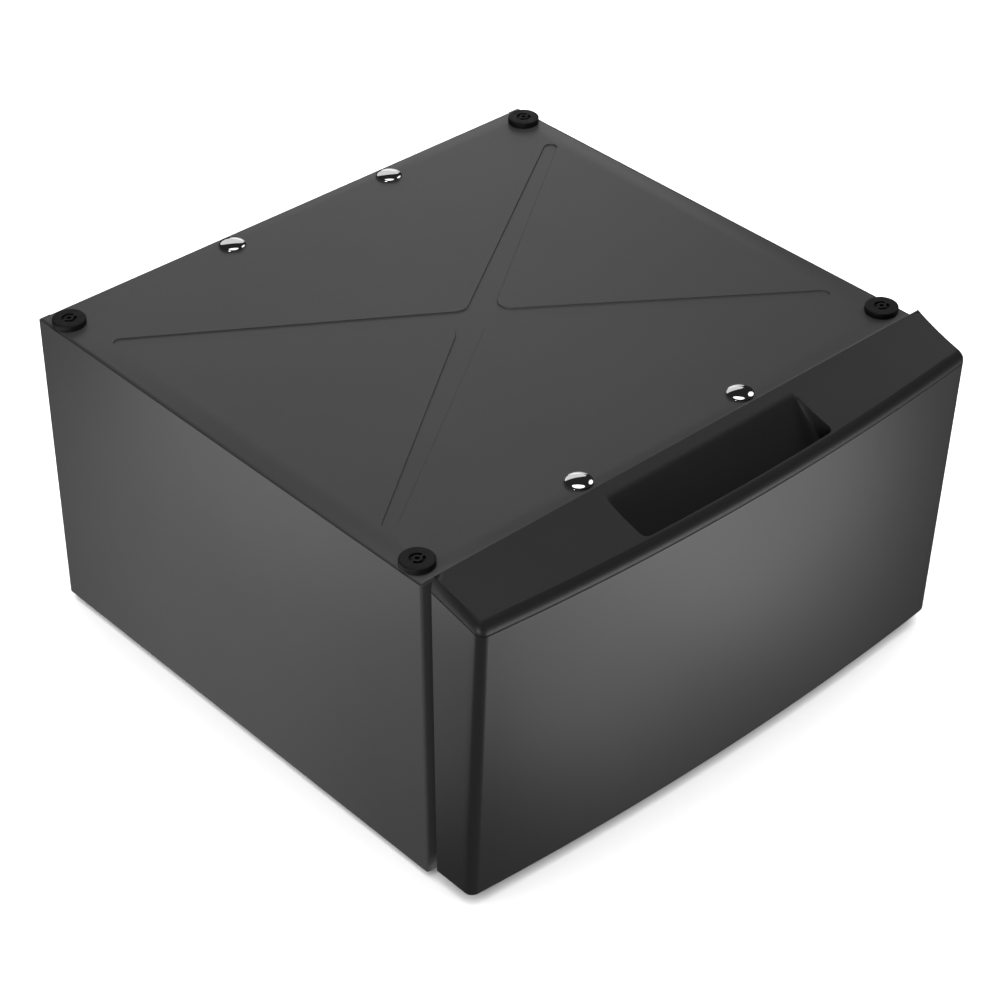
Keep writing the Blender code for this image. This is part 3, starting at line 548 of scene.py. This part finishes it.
def turned_relief(name, slot, body, replaced, centre, profile, relief=None, axis=(0, 0, 1), turns=72):
    """A turned solid from (radius, height) points, from the top's middle down to the bottom's.

    relief(radius, angle) says how far the top sinks at a place.
    """
    bm = bmesh.new()
    rings = []
    top, bottom = profile[0], profile[-1]
    for radius, height in profile[1:-1]:
        ring = []
        for k in range(turns):
            angle = 2 * pi * k / turns
            sunk = relief(radius, height, angle) if relief else 0
            ring.append(bm.verts.new((radius * cos(angle), radius * sin(angle), height - sunk)))
        rings.append(ring)
    join_rings(bm, rings)
    for (_, height), ring in ((top, rings[0]), (bottom, rings[-1])):
        sunk = relief(0, height, 0) if relief and ring is rings[0] else 0
        middle = bm.verts.new((0, 0, height - sunk))
        for i in range(turns):
            bm.faces.new((middle, ring[i], ring[(i + 1) % turns]))
    turn = Vector((0, 0, 1)).rotation_difference(Vector(axis)).to_matrix().to_4x4()
    bmesh.ops.transform(bm, matrix=Matrix.Translation(centre) @ turn, verts=bm.verts)
    return piece_from(name, bm, slot, body, replaced)


def middle_of(node):
    low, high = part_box(node)
    return (low + high) / 2


def pad_relief(radius, height, angle):
    """A sunk dot, and a sunk ring with two bridges across it, one to each side."""
    if height < 0.001:
        return 0
    off_bridge = abs((angle + pi / 2) % pi - pi / 2)
    in_ring = PAD_RING_INNER < radius < PAD_RING_OUTER and off_bridge > PAD_BRIDGE_HALF
    return PAD_GROOVE_DEPTH if radius < PAD_DOT or in_ring else 0


def make_top_pads():
    """Round rubber pads, each with a stem through the top panel."""
    wall, rest = PAD_GROOVE_WALL, HEAD_GAP
    for corner in CORNERS:
        node = f"{corner}_top_pad"
        low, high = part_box(node)
        base = Vector((*middle_of(node).xy, TOP_Z))
        top = high.z - TOP_Z
        radii = [0, 0.001, PAD_DOT - wall, PAD_DOT, 0.004, PAD_RING_INNER, PAD_RING_INNER + wall, 0.0066]
        radii += [PAD_RING_OUTER - wall, PAD_RING_OUTER, 0.010, 0.013, PAD_RADIUS - PAD_EDGE]
        profile = [(radius, top) for radius in radii]
        for angle in quarter_turn(4)[1:]:
            edge = PAD_RADIUS - PAD_EDGE * (1 - sin(angle))
            profile.append((edge, top - PAD_EDGE * (1 - cos(angle))))
        profile += [(PAD_RADIUS, rest + 0.0004), (PAD_RADIUS - 0.0004, rest)]
        profile += [(STEM_RADIUS, rest), (STEM_RADIUS, -STEM_LENGTH), (0, -STEM_LENGTH)]
        name = f"{corner}_rubber_pad"
        turned_relief(name, "rubber", "cabinet", [node], base, profile, pad_relief, turns=120)


def make_bolts():
    """Domed bolt heads with a thin, flat flange."""
    radius, flange, rest = BOLT_RADIUS, BOLT_FLANGE, HEAD_GAP
    for corner in CORNERS:
        node = f"{corner}_hold_down_bolt"
        low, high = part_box(node)
        base = Vector((*middle_of(node).xy, TOP_Z))
        dome = high.z - TOP_Z - rest - flange
        profile = [(radius * sin(a), rest + flange + dome * cos(a)) for a in quarter_turn(18)]
        profile += [(radius, rest), (STEM_RADIUS, rest), (STEM_RADIUS, -STEM_LENGTH), (0, -STEM_LENGTH)]
        turned_relief(f"{corner}_domed_bolt", "chrome", "cabinet", [node], base, profile)


def cross_relief(radius, height, angle):
    """A cross recess in a screw's head."""
    arm_half, reach, depth = 0.0006, 0.0025, 0.0011
    aside = min(abs(radius * cos(angle)), abs(radius * sin(angle)))
    return depth if height > 0 and radius < reach and aside < arm_half else 0


def make_front_screws():
    """Pan-head screws through the brackets into the drawer front."""
    head, rise, shank, length = 0.0047, 0.0026, 0.0024, 0.0135
    for side in ("left", "right"):
        for height in ("lower", "upper"):
            node = f"drawer_front_screw_{height}_{side}"
            low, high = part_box(node)
            base = Vector((*middle_of(node).xz, 0)).xzy
            base.y = high.y - rise
            radii = [0.0004 * k for k in range(8)] + [0.0036, 0.0042]
            profile = [(radius, rise * sqrt(1 - (radius / head) ** 2 * 0.8)) for radius in radii]
            profile += [(head, rise * 0.3), (head, 0), (shank, 0), (shank, -length + 0.0015), (0, -length)]
            name = f"{height}_{side}_pan_screw"
            turned_relief(name, "zinc_steel", "drawer", [node], base, profile, cross_relief, (0, 1, 0), 48)


def make_studs():
    """Levelling studs with their real thread."""
    for corner in CORNERS:
        node = f"{corner}_foot_stud"
        low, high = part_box(node)
        centre, radius = middle_of(node), (high.x - low.x) / 2
        bm = bmesh.new()
        rings = []
        for z in steps_between(low.z, high.z, THREAD_PITCH / ROWS_PER_PITCH):
            ring = []
            for k in range(THREAD_SIDES):
                turn = k / THREAD_SIDES
                phase = ((z - low.z) / THREAD_PITCH - turn) % 1
                taper = min(1, (high.z - z) / THREAD_PITCH, (z - low.z) / THREAD_PITCH)
                cut = THREAD_DEPTH * (1 - taper * (1 - abs(2 * phase - 1)))
                reach, angle = radius - cut, 2 * pi * turn
                place = (centre.x + reach * cos(angle), centre.y + reach * sin(angle), z)
                ring.append(bm.verts.new(place))
            rings.append(ring)
        join_rings(bm, rings)
        bm.faces.new(rings[0])
        bm.faces.new(rings[-1])
        piece_from(f"{corner}_threaded_stud", bm, "bright_steel", f"{corner}_stud", [node], 30)


def make_slide_balls():
    """The bearing balls in the windows of the slides' cages.

    A race has its rows' distance from the middle, its balls' radius and their depth in the slide.
    """
    races = {"outer": (0.0191, 0.0021, 0.0062), "inner": (0.0134, 0.0023, 0.0087)}
    for side, sign in (("left", -1), ("right", 1)):
        for cage, (reach, radius, depth) in races.items():
            low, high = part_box(f"{side}_slide_{cage}_cage")
            rail_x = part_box(f"{side}_slide_rail")[0 if sign > 0 else 1].x
            x, middle_z = rail_x - sign * depth, (low.z + high.z) / 2
            first_y, last_y = low.y + BALL_END_GAP, high.y - BALL_END_GAP
            bm = bmesh.new()
            for y in steps_between(first_y, last_y, (last_y - first_y) / BALLS_PER_ROW):
                for z in (middle_z - reach, middle_z + reach):
                    place = Matrix.Translation((x, y, z))
                    bmesh.ops.create_uvsphere(bm, u_segments=16, v_segments=10, radius=radius, matrix=place)
            piece_from(f"{side}_{cage}_balls", bm, "bright_steel", f"{side}_{cage}_cage", sharp_angle=80)


def dress_frame_nodes():
    """Smooth shading, soft edges and the slot's material for each piece that keeps the frame's mesh."""
    for row in frame["record"]["subparts"]:
        node = frame["nodes"][row["node"]]
        if node.hide_render:
            continue
        node.data.materials.clear()
        node.data.materials.append(FINISHES[row["material_slot"]])
        if "custom_normal" in node.data.attributes:
            node.data.attributes.remove(node.data.attributes["custom_normal"])
        node.data.shade_smooth()
        weld = node.modifiers.new("Weld", "WELD")
        weld.merge_threshold = 0.00001
        soften_edges(node, 0.0003)


# Camera, floor and lights ---------------------------------------------------------------------------


def look_from(azimuth, elevation):
    """Unit vector from the object towards a viewer. Azimuth 0 is in front, and 90 is to the right."""
    across, up = radians(azimuth), radians(elevation)
    return Vector((sin(across) * cos(up), -cos(across) * cos(up), sin(up)))


def make_camera():
    """A long lens from the front left and above."""
    camera = bpy.data.objects.new("camera", bpy.data.cameras.new("camera"))
    bpy.context.scene.collection.objects.link(camera)
    camera.data.lens = CAMERA_LENS
    camera.data.clip_end = 100.0
    camera.location = CAMERA_PLACE
    towards = -look_from(CAMERA_AZIMUTH, CAMERA_ELEVATION)
    roll = Quaternion((0, 0, 1), radians(CAMERA_ROLL))
    camera.rotation_mode = "QUATERNION"
    camera.rotation_quaternion = towards.to_track_quat("-Z", "Y") @ roll
    bpy.context.scene.camera = camera


def make_floor():
    """A white floor that the object doesn't mirror, and that lets the low lights through from below."""
    mesh = bpy.data.meshes.new("floor")
    bm = bmesh.new()
    bmesh.ops.create_grid(bm, x_segments=2, y_segments=2, size=FLOOR_HALF)
    bm.to_mesh(mesh)
    bm.free()
    floor = bpy.data.objects.new("floor", mesh)
    bpy.context.scene.collection.objects.link(floor)
    made, _, shader = node_material("floor_white")
    shader.inputs["Base Color"].default_value = (0.9, 0.9, 0.9, 1)
    shader.inputs["Roughness"].default_value = 0.9
    mesh.materials.append(made)
    floor.visible_diffuse = False
    floor.visible_glossy = False
    floor.visible_shadow = False
    return floor


def make_world():
    """White behind the floor, a dim even light on the object, and a darker room in its reflections."""
    world = bpy.data.worlds.new("studio")
    bpy.context.scene.world = world
    world.use_nodes = True
    tree = world.node_tree
    path = tree.nodes.new("ShaderNodeLightPath")
    colour = tree.nodes["Background"].outputs[0]
    tree.nodes["Background"].inputs["Color"].default_value = (AMBIENT, AMBIENT, AMBIENT, 1)
    for seen_by, level in (("Is Glossy Ray", MIRRORED_AMBIENT), ("Is Camera Ray", 1.0)):
        background = tree.nodes.new("ShaderNodeBackground")
        background.inputs["Color"].default_value = (level, level, level, 1)
        mix = tree.nodes.new("ShaderNodeMixShader")
        tree.links.new(path.outputs[seen_by], mix.inputs["Fac"])
        tree.links.new(colour, mix.inputs[1])
        tree.links.new(background.outputs[0], mix.inputs[2])
        colour = mix.outputs[0]
    tree.links.new(colour, tree.nodes["World Output"].inputs["Surface"])


def area_light(name, place, target, size, power):
    """A soft elliptical light that no camera sees."""
    light = bpy.data.lights.new(name, "AREA")
    light.shape = "ELLIPSE"
    light.size, light.size_y = size
    light.energy = power
    obj = bpy.data.objects.new(name, light)
    bpy.context.scene.collection.objects.link(obj)
    obj.location = place
    obj.visible_camera = False
    obj.rotation_euler = (Vector(target) - Vector(place)).to_track_quat("-Z", "Y").to_euler()


def light_floor_only(floor):
    """A wide, soft sun that whitens the floor and leaves the object's contact shadow on it."""
    receivers = bpy.data.collections.new("floor_receivers")
    receivers.objects.link(floor)
    light = bpy.data.lights.new("floor_light", "SUN")
    light.energy = FLOOR_LIGHT_POWER
    light.angle = FLOOR_LIGHT_SPREAD
    obj = bpy.data.objects.new("floor_light", light)
    bpy.context.scene.collection.objects.link(obj)
    obj.light_linking.receiver_collection = receivers


FINISHES = make_finishes()
make_front_skin()
make_front_cap()
make_top_pads()
make_bolts()
make_front_screws()
make_studs()
make_slide_balls()
dress_frame_nodes()
make_camera()
make_world()
light_floor_only(make_floor())
for name, (place, target, size, power) in LIGHTS.items():
    area_light(name, place, target, size, power)

bpy.context.scene.view_settings.view_transform = "Standard"
